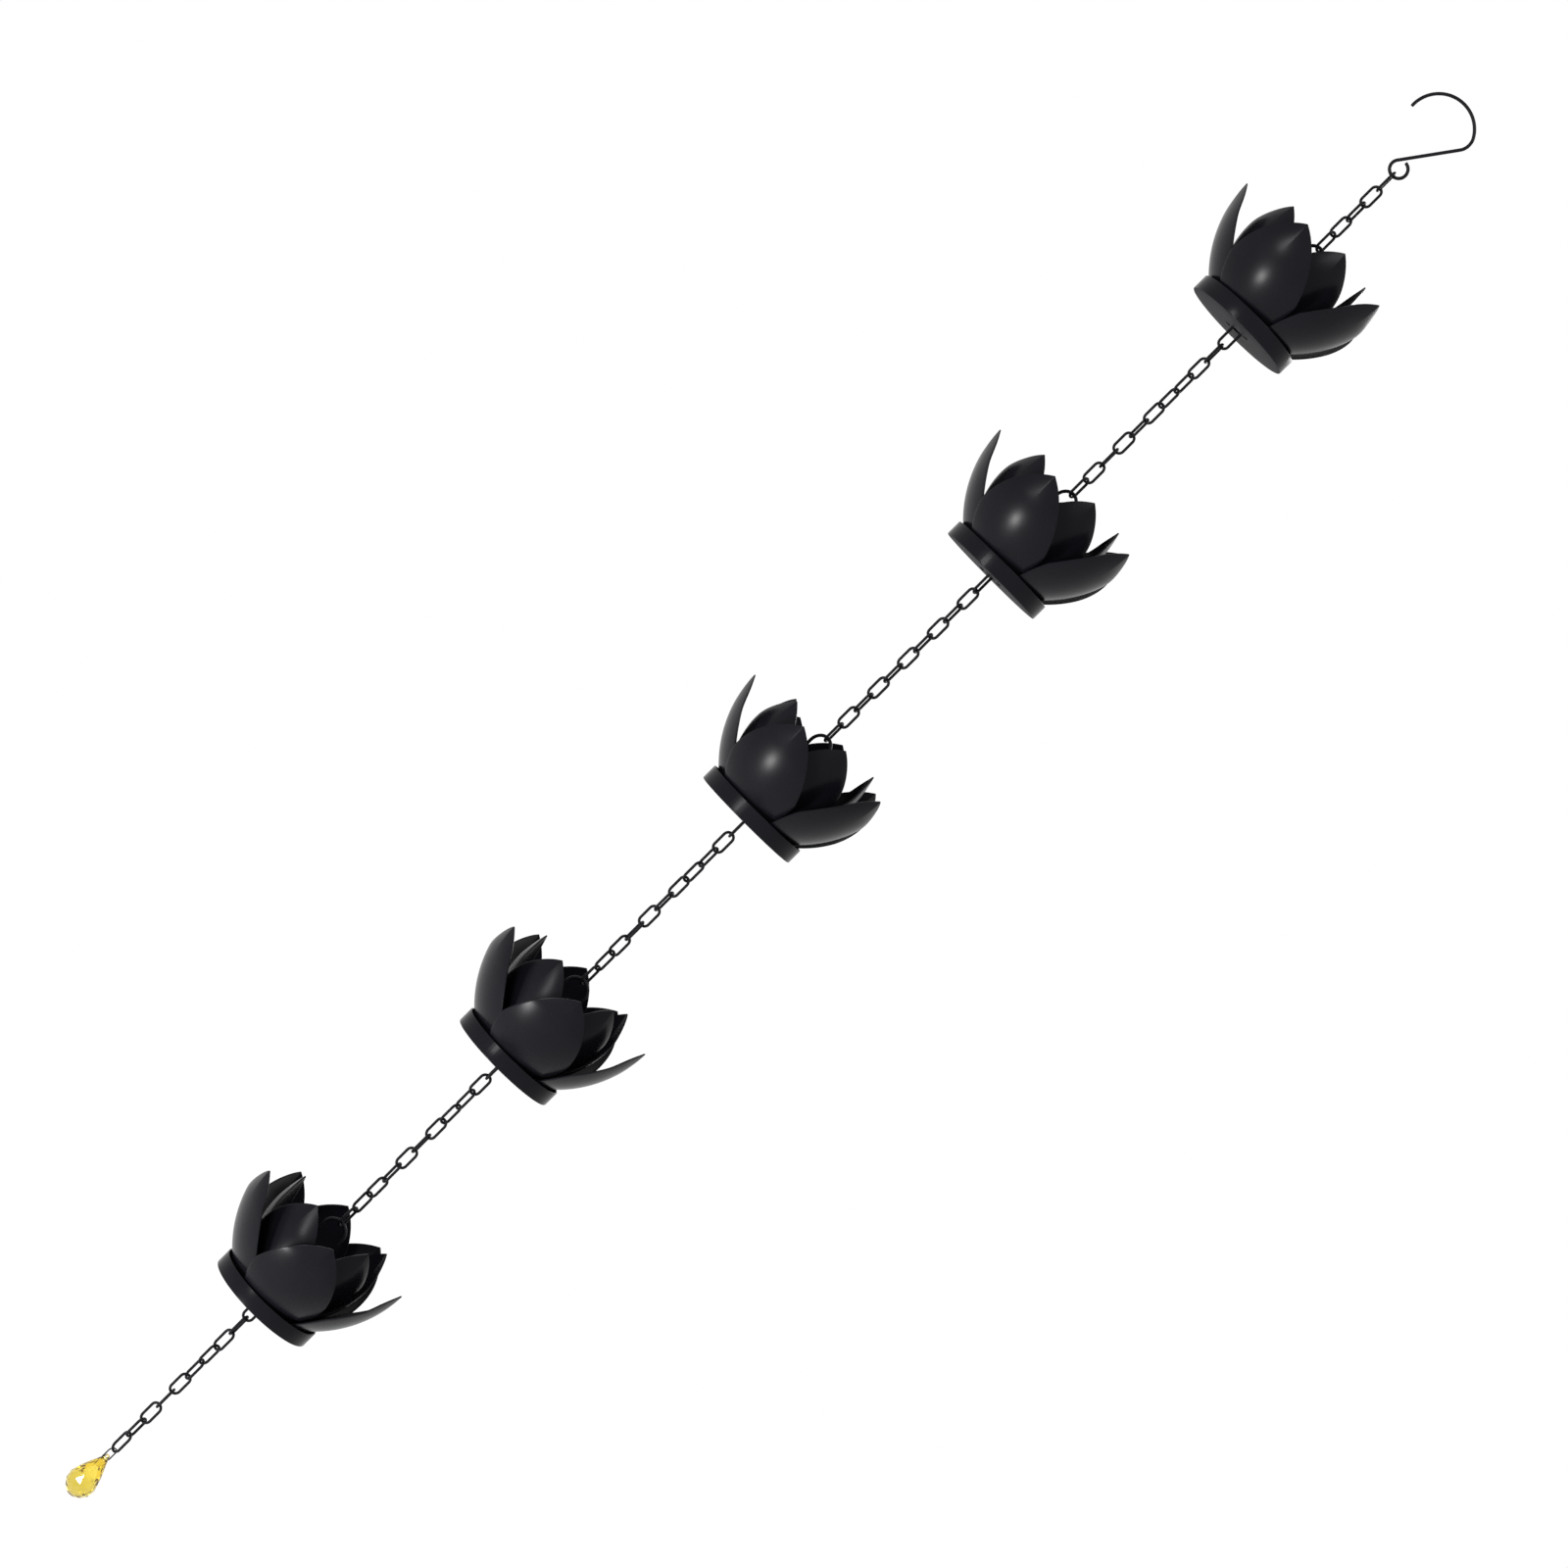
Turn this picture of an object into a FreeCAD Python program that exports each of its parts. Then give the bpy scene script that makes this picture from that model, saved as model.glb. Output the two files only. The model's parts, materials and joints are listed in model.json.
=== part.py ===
import FreeCAD
import Part

import math
import os

# Hanging rain chain, in millimetres. A wire hook carries oval links and five lotus cups in line, and a
# faceted glass drop ends the chain. +Z is up, and the origin is the point of the hook's arc that bears on
# whatever holds it, so the whole chain hangs below it along -Z. The hook lies in the XZ plane.
# Azimuths are in degrees about +Z from +X.

# Chain link: an oval of round wire, two straight legs and two half-round crowns.
LINK_WIRE = 2.0
LINK_INNER_LENGTH = 14.5
LINK_INNER_WIDTH = 5.4
HANG_GAP = 0.3  # between two wires that hang in each other

# Hook: a wide arc that tightens into a slanting shank, which ends in a closed eye.
HOOK_WIRE = 2.4
HOOK_ARC_RADIUS = 24.0  # centre line
HOOK_SHOULDER_RADIUS = 11.0
HOOK_EYE_RADIUS = 6.2
HOOK_TIP_ANGLE = 184.0
HOOK_SHOULDER_ANGLE = 32.0
HOOK_SHANK_LEAN = 36.0  # away from the vertical
HOOK_EYE_GAP = 0.3  # the end of the eye stops this far from the shank
HOOK_TIP_ROUND = 0.8

# Pan: a stamped tray that carries the blossoms.
PAN_DIAMETER = 82.0
PAN_HEIGHT = 11.5
PAN_SHEET = 1.0
PAN_CORNER = 0.8
DRAIN_DIAMETER = 10.4  # one hole through the floor, for the water and the loop

# Blossoms: each one sheet of five domed petals on a round floor, bent up round it. A midline point is how
# far it lies outside the pan's wall, and its height over the pan's underside. A side point is how far the
# petal's side lies beyond half the petals' spacing round the wall, and its height. The sides meet in the tip.
PETAL_COUNT = 5
PETAL_SHEET = 1.0
PETAL_TWIST = 3.5  # turns each petal about its own midline, so that it overlaps the next one
OUTER_FLOOR_INSET = 16.0  # from the outside of the pan's wall in to the edge of the floor
OUTER_MIDLINE = ((-16.4, 1.6), (17.2, 41.0), (24.6, 73.8))
OUTER_DOME_OFFSET = 4.0  # the petal is turned about an axis this far out, so it domes across too
OUTER_SIDE = ((-14.1, 0.0), (-2.6, 11.5), (5.5, 31.0), (-3.3, 55.0))
OUTER_TIP_HEIGHT = 74.2
INNER_FLOOR_INSET = 20.5
INNER_MIDLINE = ((-20.5, 2.6), (1.2, 41.0), (0.0, 82.0))
INNER_DOME_OFFSET = 2.5
INNER_SIDE = ((-14.1, 0.0), (-2.6, 13.5), (3.0, 35.0), (-5.1, 63.0))
INNER_TIP_HEIGHT = 82.0
DOME_HALF_ANGLE = 85.0  # how far the domed sheet runs each side of its midline before its outline is cut
DOME_SPARE_ANGLE = 2.0  # how far it runs past the ends of its midline

# Bail: the arch of wire that the chain above holds the cup by. Its feet are riveted under the pan.
BAIL_WIRE = 2.4
BAIL_RADIUS = 9.0
BAIL_INNER_HEIGHT = 77.5  # from the pan's underside to the underside of the arch
BAIL_HOLE_CLEARANCE = 0.1
BAIL_RIVET_RADIUS = 2.2
BAIL_RIVET_TIP_RADIUS = 1.32
BAIL_RIVET_HEIGHT = 0.9

# Loop: a U of link wire that hangs through the cup's floor and carries the chain below. Its two feet are
# bent out over the floor.
LOOP_INNER_DEPTH = 14.4  # from the pan's underside down to the wire that bears the chain
LOOP_BEND_RADIUS = 1.45
LOOP_FOOT_SPAN = 14.4  # over both feet

# Wire pin and glass drop.
PIN_WIRE = 1.0
PIN_INNER_WIDTH = 6.0
PIN_CORNER = 1.2
PIN_DROP = 9.4  # from the last link's bearing point to the middle of the drop's hole
DROP_HOLE_DEPTH = 3.4
DROP_HOLE_CLEARANCE = 0.3
DROP_FACETS = 12
DROP_RINGS = (
    (0.0, 1.5),
    (2.2, 2.2),
    (7.0, 4.2),
    (13.0, 6.9),
    (19.0, 9.3),
    (25.0, 10.8),
    (30.0, 10.3),
    (34.3, 7.6),
    (37.2, 3.6),
    (38.0, 0.8),
)  # depth below the top, radius

# Layout. Each run of chain hangs from the hook or from a cup's loop. Its links are nearly a quarter turn
# apart, and the small rest of each turn adds up to the slow twist along the run.
RUN_PIECES = ((2, 3), (3, 4, 3), (3, 4, 3), (3, 4, 3), (3, 4, 3), (3, 3, 3))  # links in each piece
RUN_START = (0.0, 0.0, 68.0, 88.0, 95.0, 2.0)  # azimuth of the wire that each run hangs from
RUN_TWIST = (-8.0, -12.0, 0.5, 15.0, 15.0, -15.0)
CUP_TURN = (-105.0, -105.0, -105.0, -83.0, -83.0)  # azimuth of each cup's first outer petal
BAIL_TURN = 72.0  # the bail stands in line with the second petal


def at(x, z, y=0.0):
    return FreeCAD.Vector(x, y, z)


def turned(shape, azimuth, z=0.0):
    """A copy turned about the Z axis and set at a height."""
    copy = shape.copy()
    copy.rotate(FreeCAD.Vector(0, 0, 0), FreeCAD.Vector(0, 0, 1), azimuth)
    copy.translate(FreeCAD.Vector(0, 0, z))
    return copy


def polar(centre, radius, angle):
    """A point of the XZ plane at an angle from +X, on a circle round centre."""
    turn = math.radians(angle)
    return centre + at(radius * math.cos(turn), radius * math.sin(turn))


def arc(centre, radius, start, end):
    """An arc in the XZ plane between two angles, in either direction."""
    middle = polar(centre, radius, (start + end) / 2)
    return Part.Arc(polar(centre, radius, start), middle, polar(centre, radius, end)).toShape()


def bent_wire(edges, diameter):
    """Round wire swept along tangent edges that start at the first edge's first point."""
    path = Part.Wire(edges)
    first = edges[0]
    start = first.valueAt(first.FirstParameter)
    heading = first.tangentAt(first.FirstParameter)
    section = Part.Wire([Part.makeCircle(diameter / 2, start, heading)])
    return path.makePipeShell([section], True, False)


def oval(inner_length, inner_width, diameter):
    """A link in the XZ plane, centred at the origin and standing along Z."""
    crown = (inner_width + diameter) / 2
    leg = (inner_length + diameter) / 2 - crown
    top, bottom = at(0, leg), at(0, -leg)
    path = [
        Part.makeLine(at(crown, -leg), at(crown, leg)),
        arc(top, crown, 0, 180),
        Part.makeLine(at(-crown, leg), at(-crown, -leg)),
        arc(bottom, crown, 180, 360),
    ]
    return bent_wire(path, diameter)


def link():
    return oval(LINK_INNER_LENGTH, LINK_INNER_WIDTH, LINK_WIRE)


def hook_centres():
    """The centres of the hook's arc, shoulder and eye. The eye hangs plumb under the arc's top."""
    arc_centre = at(0, HOOK_WIRE / 2 - HOOK_ARC_RADIUS)
    shoulder = polar(arc_centre, HOOK_ARC_RADIUS - HOOK_SHOULDER_RADIUS, HOOK_SHOULDER_ANGLE)
    bend = polar(shoulder, HOOK_SHOULDER_RADIUS, -HOOK_SHANK_LEAN)
    tangent = polar(at(0, 0), HOOK_EYE_RADIUS, 180 - HOOK_SHANK_LEAN)
    fall = (bend.x - tangent.x) / math.tan(math.radians(HOOK_SHANK_LEAN))
    return arc_centre, shoulder, at(0, bend.z - fall - tangent.z)


def hook():
    arc_centre, shoulder, eye = hook_centres()
    bend = polar(shoulder, HOOK_SHOULDER_RADIUS, -HOOK_SHANK_LEAN)
    meet = 180 - HOOK_SHANK_LEAN
    stop = (HOOK_WIRE + HOOK_EYE_GAP) / HOOK_EYE_RADIUS
    close = meet + 360 - math.degrees(math.acos(1 - stop))
    path = [
        arc(arc_centre, HOOK_ARC_RADIUS, HOOK_TIP_ANGLE, HOOK_SHOULDER_ANGLE),
        arc(shoulder, HOOK_SHOULDER_RADIUS, HOOK_SHOULDER_ANGLE, -HOOK_SHANK_LEAN),
        Part.makeLine(bend, polar(eye, HOOK_EYE_RADIUS, meet)),
        arc(eye, HOOK_EYE_RADIUS, meet, close),
    ]
    wire = bent_wire(path, HOOK_WIRE)
    tip = polar(arc_centre, HOOK_ARC_RADIUS, HOOK_TIP_ANGLE)
    near_tip = [e for e in wire.Edges if e.CenterOfMass.distanceToPoint(tip) < HOOK_WIRE / 4]
    return wire.makeFillet(HOOK_TIP_ROUND, near_tip)


def pan():
    """The tray, turned from its profile, with its drain and the two holes of the bail."""
    rim, wall = PAN_DIAMETER / 2, PAN_DIAMETER / 2 - PAN_SHEET
    profile = [
        at(0, 0),
        at(rim, 0),
        at(rim, PAN_HEIGHT),
        at(wall, PAN_HEIGHT),
        at(wall, PAN_SHEET),
        at(0, PAN_SHEET),
        at(0, 0),
    ]
    face = Part.Face(Part.makePolygon(profile))
    solid = face.revolve(at(0, 0), FreeCAD.Vector(0, 0, 1), 360)
    corner = [e for e in solid.Edges if is_ring(e, rim, 0.0)]
    solid = solid.makeFillet(PAN_CORNER, corner)
    return solid.cut(floor_holes(0.0, PAN_SHEET))


def is_ring(edge, radius, z):
    """Is an edge the circle of this radius at this height?"""
    box = edge.BoundBox
    return abs(box.ZMax - z) < 1e-4 and abs(box.ZMin - z) < 1e-4 and abs(box.XMax - radius) < 1e-4


def floor_holes(z, thickness):
    """The drain and the bail's holes, as cutters through one floor of the stack."""
    low = at(0, z - thickness)
    up = FreeCAD.Vector(0, 0, 1)
    drain = Part.makeCylinder(DRAIN_DIAMETER / 2, 3 * thickness, low, up)
    radius = BAIL_WIRE / 2 + BAIL_HOLE_CLEARANCE
    along = math.radians(BAIL_TURN)
    foot = FreeCAD.Vector(math.cos(along), math.sin(along), 0) * BAIL_RADIUS
    return drain.multiFuse([Part.makeCylinder(radius, 3 * thickness, low + side, up) for side in (foot, foot * -1)])


def petal_shell(midline, offset, floor):
    """Domed sheet round a petal's midline: a band turned about an axis parallel to the cup's."""
    points = [at(PAN_DIAMETER / 2 + out, z) for out, z in midline]
    curve = Part.Arc(*points).toShape().Curve
    centre = curve.Center
    outer = curve.Radius
    inner = outer - PETAL_SHEET
    low = math.degrees(math.atan2(floor - centre.z, points[0].x - centre.x)) - DOME_SPARE_ANGLE
    high = math.degrees(math.atan2(points[2].z - centre.z, points[2].x - centre.x)) + DOME_SPARE_ANGLE
    band = Part.Wire(
        [
            arc(centre, outer, low, high),
            Part.makeLine(polar(centre, outer, high), polar(centre, inner, high)),
            arc(centre, inner, high, low),
            Part.makeLine(polar(centre, inner, low), polar(centre, outer, low)),
        ]
    )
    face = Part.Face(band)
    axis = at(offset, 0)
    up = FreeCAD.Vector(0, 0, 1)
    face.rotate(axis, up, -DOME_HALF_ANGLE)
    return face.revolve(axis, up, 2 * DOME_HALF_ANGLE)


def petal_cutter(side, tip_height, floor, reach):
    """The petal's outline as a prism along +X, from its base on the floor to its pointed tip."""
    half_spacing = PAN_DIAMETER / 2 * math.sin(math.pi / PETAL_COUNT)
    points = [at(0, z, half_spacing + beyond) for beyond, z in side]
    base, haunch, belly, shoulder = points
    tip = at(0, tip_height)
    base.z = floor
    half = [Part.Arc(tip, shoulder, belly).toShape(), Part.Arc(belly, haunch, base).toShape()]
    other = [edge.mirror(FreeCAD.Vector(0, 0, 0), FreeCAD.Vector(0, 1, 0)) for edge in half]
    foot = Part.makeLine(base, FreeCAD.Vector(0, -base.y, base.z))
    ring = Part.Wire(Part.__sortEdges__(half + other + [foot]))
    return Part.Face(ring).extrude(FreeCAD.Vector(reach, 0, 0))


def blossom(midline, offset, side, tip_height, floor_inset, floor):
    """One stamped sheet: a round floor with the petals bent up round its edge."""
    shell = petal_shell(midline, offset, floor)
    petal = shell.common(petal_cutter(side, tip_height, floor, 2 * shell.BoundBox.XMax))
    belly = PAN_DIAMETER / 2 + midline[1][0]
    floor_radius = PAN_DIAMETER / 2 - floor_inset
    petal.rotate(at(belly, 0), FreeCAD.Vector(0, 0, 1), PETAL_TWIST)
    petals = [turned(petal, 360 * n / PETAL_COUNT) for n in range(PETAL_COUNT)]
    disc = Part.makeCylinder(floor_radius, PETAL_SHEET, at(0, floor), FreeCAD.Vector(0, 0, 1))
    return disc.multiFuse(petals)


def outer_blossom():
    floor = PAN_SHEET
    shape = (OUTER_MIDLINE, OUTER_DOME_OFFSET, OUTER_SIDE, OUTER_TIP_HEIGHT, OUTER_FLOOR_INSET)
    sheet = blossom(*shape, floor)
    return sheet.cut(floor_holes(floor, PETAL_SHEET))


def inner_blossom():
    floor = PAN_SHEET + PETAL_SHEET
    shape = (INNER_MIDLINE, INNER_DOME_OFFSET, INNER_SIDE, INNER_TIP_HEIGHT, INNER_FLOOR_INSET)
    sheet = blossom(*shape, floor)
    return turned(sheet, 180 / PETAL_COUNT).cut(floor_holes(floor, PETAL_SHEET))


def bail():
    """The arch with its two legs, and the rivet heads under the pan."""
    crown = at(0, BAIL_INNER_HEIGHT + BAIL_WIRE / 2 - BAIL_RADIUS)
    path = [
        Part.makeLine(at(BAIL_RADIUS, 0), at(BAIL_RADIUS, crown.z)),
        arc(crown, BAIL_RADIUS, 0, 180),
        Part.makeLine(at(-BAIL_RADIUS, crown.z), at(-BAIL_RADIUS, 0)),
    ]
    wire = bent_wire(path, BAIL_WIRE)
    heads = []
    for side in (-1, 1):
        head = Part.makeCone(
            BAIL_RIVET_TIP_RADIUS,
            BAIL_RIVET_RADIUS,
            BAIL_RIVET_HEIGHT,
            at(side * BAIL_RADIUS, -BAIL_RIVET_HEIGHT),
            FreeCAD.Vector(0, 0, 1),
        )
        heads.append(head)
    return wire.multiFuse(heads)


def loop():
    """The U of wire in the XZ plane, from foot to foot, measured from the pan's underside."""
    leg = (LINK_INNER_WIDTH + LINK_WIRE) / 2
    bend = LOOP_BEND_RADIUS
    foot = PAN_SHEET + 2 * PETAL_SHEET + LINK_WIRE / 2
    low = leg - LINK_WIRE / 2 - LOOP_INNER_DEPTH
    path = [
        Part.makeLine(at(LOOP_FOOT_SPAN / 2, foot), at(leg + bend, foot)),
        arc(at(leg + bend, foot - bend), bend, 90, 180),
        Part.makeLine(at(leg, foot - bend), at(leg, low)),
        arc(at(0, low), leg, 0, -180),
        Part.makeLine(at(-leg, low), at(-leg, foot - bend)),
        arc(at(-leg - bend, foot - bend), bend, 0, 90),
        Part.makeLine(at(-leg - bend, foot), at(-LOOP_FOOT_SPAN / 2, foot)),
    ]
    return bent_wire(path, LINK_WIRE)


def pin():
    """A closed loop of thin wire in the XZ plane, its crossbar centred at the origin."""
    half = (PIN_INNER_WIDTH + PIN_WIRE) / 2
    top = PIN_DROP + PIN_WIRE / 2 - half
    path = [
        Part.makeLine(at(half - PIN_CORNER, 0), at(PIN_CORNER - half, 0)),
        arc(at(PIN_CORNER - half, PIN_CORNER), PIN_CORNER, 270, 180),
        Part.makeLine(at(-half, PIN_CORNER), at(-half, top)),
        arc(at(0, top), half, 180, 0),
        Part.makeLine(at(half, top), at(half, PIN_CORNER)),
        arc(at(half - PIN_CORNER, PIN_CORNER), PIN_CORNER, 0, -90),
    ]
    return bent_wire(path, PIN_WIRE)


def ring_points(depth, radius, shift):
    """The corners of one ring of the drop, turned by half a facet on every second ring."""
    turns = [2 * math.pi * (n + shift / 2) / DROP_FACETS for n in range(DROP_FACETS)]
    return [FreeCAD.Vector(radius * math.cos(t), radius * math.sin(t), -depth) for t in turns]


def glass_drop():
    """The cut drop: rings half a facet apart, joined by triangles, with a hole under the top."""
    rings = [ring_points(depth, radius, n % 2) for n, (depth, radius) in enumerate(DROP_RINGS)]
    corners = [list(reversed(rings[0])), rings[-1]]
    for n in range(len(rings) - 1):
        upper, lower = rings[n], rings[n + 1]
        for k in range(DROP_FACETS):
            ahead = (k + 1) % DROP_FACETS
            if n % 2 == 0:
                corners.append([upper[k], lower[k], upper[ahead]])
                corners.append([upper[ahead], lower[k], lower[ahead]])
            else:
                corners.append([upper[k], lower[k], lower[ahead]])
                corners.append([upper[k], lower[ahead], upper[ahead]])
    faces = [Part.Face(Part.makePolygon(points + points[:1])) for points in corners]
    solid = Part.Solid(Part.makeShell(faces))
    if solid.Volume < 0:
        solid.reverse()
    solid.translate(at(0, DROP_HOLE_DEPTH))
    radius = PIN_WIRE / 2 + DROP_HOLE_CLEARANCE
    across = 2 * max(radius for _, radius in DROP_RINGS)
    hole = Part.makeCylinder(radius, across, at(-across / 2, 0), FreeCAD.Vector(1, 0, 0))
    return solid.cut(hole)


def layout():
    """Where everything hangs: the heights and azimuths of each run's links, each cup, and the pin."""
    _, _, eye_ring = hook_centres()
    bearing = eye_ring.z - HOOK_EYE_RADIUS + HOOK_WIRE / 2
    runs, cups = [], []
    for k, pieces in enumerate(RUN_PIECES):
        links = []
        for i in range(1, sum(pieces) + 1):
            bearing += HANG_GAP - LINK_INNER_LENGTH
            azimuth = RUN_START[k] + (90 + RUN_TWIST[k]) * i
            links.append((bearing + LINK_INNER_LENGTH / 2, azimuth))
        runs.append(links)
        if k < len(CUP_TURN):
            base = bearing + HANG_GAP - BAIL_INNER_HEIGHT
            cups.append((base, CUP_TURN[k], RUN_START[k + 1]))
            bearing = base - LOOP_INNER_DEPTH
    crossbar = bearing + HANG_GAP - PIN_DROP
    return runs, cups, (crossbar, runs[-1][-1][1] + 90)


def nodes():
    """Every named piece in its place."""
    runs, cups, (crossbar, pin_turn) = layout()
    made = {"hook": hook()}
    one_link = link()
    for k, (links, pieces) in enumerate(zip(runs, RUN_PIECES)):
        first = 0
        for letter, count in zip("abc", pieces):
            group = [turned(one_link, azimuth, z) for z, azimuth in links[first : first + count]]
            made[f"chain_{k}{letter}"] = Part.makeCompound(group)
            first += count
    pieces = {
        "pan": pan(),
        "outer_petals": outer_blossom(),
        "inner_petals": inner_blossom(),
        "bail": turned(bail(), BAIL_TURN),
    }
    one_loop = loop()
    for k, (base, turn, loop_turn) in enumerate(cups, 1):
        for name, shape in pieces.items():
            made[f"cup_{k}_{name}"] = turned(shape, turn, base)
        made[f"cup_{k}_loop"] = turned(one_loop, loop_turn, base)
    made["drop_pin"] = turned(pin(), pin_turn, crossbar)
    made["glass_drop"] = turned(glass_drop(), pin_turn, crossbar)
    return made


def main():
    os.makedirs("parts", exist_ok=True)
    for name, shape in nodes().items():
        shape.exportStep(f"parts/{name}.step")
        print(name, len(shape.Solids), round(shape.Volume, 1), shape.isValid())


if __name__ == "__main__":
    main()
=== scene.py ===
import json
import logging
import math
from dataclasses import dataclass
from enum import Enum

import bpy
from mathutils import Matrix, Quaternion, Vector

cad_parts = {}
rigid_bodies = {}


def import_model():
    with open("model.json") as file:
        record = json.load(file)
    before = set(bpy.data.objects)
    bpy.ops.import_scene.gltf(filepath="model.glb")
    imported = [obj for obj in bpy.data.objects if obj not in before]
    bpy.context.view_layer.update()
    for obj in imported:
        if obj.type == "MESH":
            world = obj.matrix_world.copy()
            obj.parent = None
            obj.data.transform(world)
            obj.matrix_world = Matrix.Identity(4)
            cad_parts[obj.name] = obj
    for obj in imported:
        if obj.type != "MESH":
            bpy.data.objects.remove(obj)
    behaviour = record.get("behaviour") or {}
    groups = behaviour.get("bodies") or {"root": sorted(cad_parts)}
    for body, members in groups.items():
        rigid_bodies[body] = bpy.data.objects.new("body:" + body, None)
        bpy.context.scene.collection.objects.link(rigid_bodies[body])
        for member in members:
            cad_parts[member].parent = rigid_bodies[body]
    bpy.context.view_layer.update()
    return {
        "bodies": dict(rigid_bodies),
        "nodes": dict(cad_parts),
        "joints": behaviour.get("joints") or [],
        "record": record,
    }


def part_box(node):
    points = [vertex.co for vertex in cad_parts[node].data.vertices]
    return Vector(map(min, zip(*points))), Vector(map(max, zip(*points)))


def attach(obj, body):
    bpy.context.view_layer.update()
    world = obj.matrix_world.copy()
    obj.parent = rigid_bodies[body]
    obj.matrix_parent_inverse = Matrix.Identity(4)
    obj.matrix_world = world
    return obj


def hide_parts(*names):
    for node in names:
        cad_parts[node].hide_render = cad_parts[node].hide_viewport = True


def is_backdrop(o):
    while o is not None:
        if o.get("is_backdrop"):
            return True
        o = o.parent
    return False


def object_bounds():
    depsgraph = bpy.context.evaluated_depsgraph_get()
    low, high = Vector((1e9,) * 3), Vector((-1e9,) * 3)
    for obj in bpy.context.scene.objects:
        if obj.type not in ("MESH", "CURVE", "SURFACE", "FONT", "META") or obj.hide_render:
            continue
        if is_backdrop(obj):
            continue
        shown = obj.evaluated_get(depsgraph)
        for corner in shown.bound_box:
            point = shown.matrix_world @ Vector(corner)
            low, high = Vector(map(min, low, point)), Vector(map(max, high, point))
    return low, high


# Rain chain of five lotus cups. Sizes are in millimetres and turn into Blender's metres at MM. A piece is
# modelled once at its own origin, then copied to each of its places with its own mesh.

MM = 0.001
log = logging.getLogger("rain_chain")


def linear(hex_colour: str) -> tuple[float, float, float, float]:
    """Turn an sRGB hex colour into Blender's linear colour.

    Args:
        hex_colour: Six hex digits, with or without the leading mark.

    Returns:
        Linear red, green and blue, and an alpha of one.
    """
    digits = hex_colour.lstrip("#")
    channels = [int(digits[n : n + 2], 16) / 255 for n in (0, 2, 4)]
    # The sRGB curve: a straight foot, and a power above it.
    red, green, blue = [c / 12.92 if c <= 0.04045 else ((c + 0.055) / 1.055) ** 2.4 for c in channels]
    return (red, green, blue, 1.0)


def node(
    tree: bpy.types.NodeTree,
    kind: str,
    settings: dict[str, object] | None = None,
    **links: bpy.types.NodeSocket | float | tuple[float, ...],
) -> bpy.types.Node:
    """Add one shader node with its settings, socket values and links.

    Args:
        tree: The node tree that gets the node.
        kind: Blender's name for the node type.
        settings: Properties of the node itself.
        **links: Input socket names, spaces as underscores, to a value or to the socket that feeds it.

    Returns:
        The new node.
    """
    made = tree.nodes.new(kind)
    for key, value in (settings or {}).items():
        setattr(made, key, value)
    for key, value in links.items():
        name = key.replace("_", " ")
        socket = made.inputs[int(name[5:])] if name.startswith("slot ") else made.inputs[name]
        if isinstance(value, bpy.types.NodeSocket):
            tree.links.new(value, socket)
        else:
            socket.default_value = value
    return made


def blank_material(name: str) -> tuple[bpy.types.Material, bpy.types.NodeTree]:
    """Make a material with an empty node tree.

    Args:
        name: Name of the material.

    Returns:
        The material and its tree.
    """
    material = bpy.data.materials.new(name)
    material.use_nodes = True
    material.node_tree.nodes.clear()
    return material, material.node_tree


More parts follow.
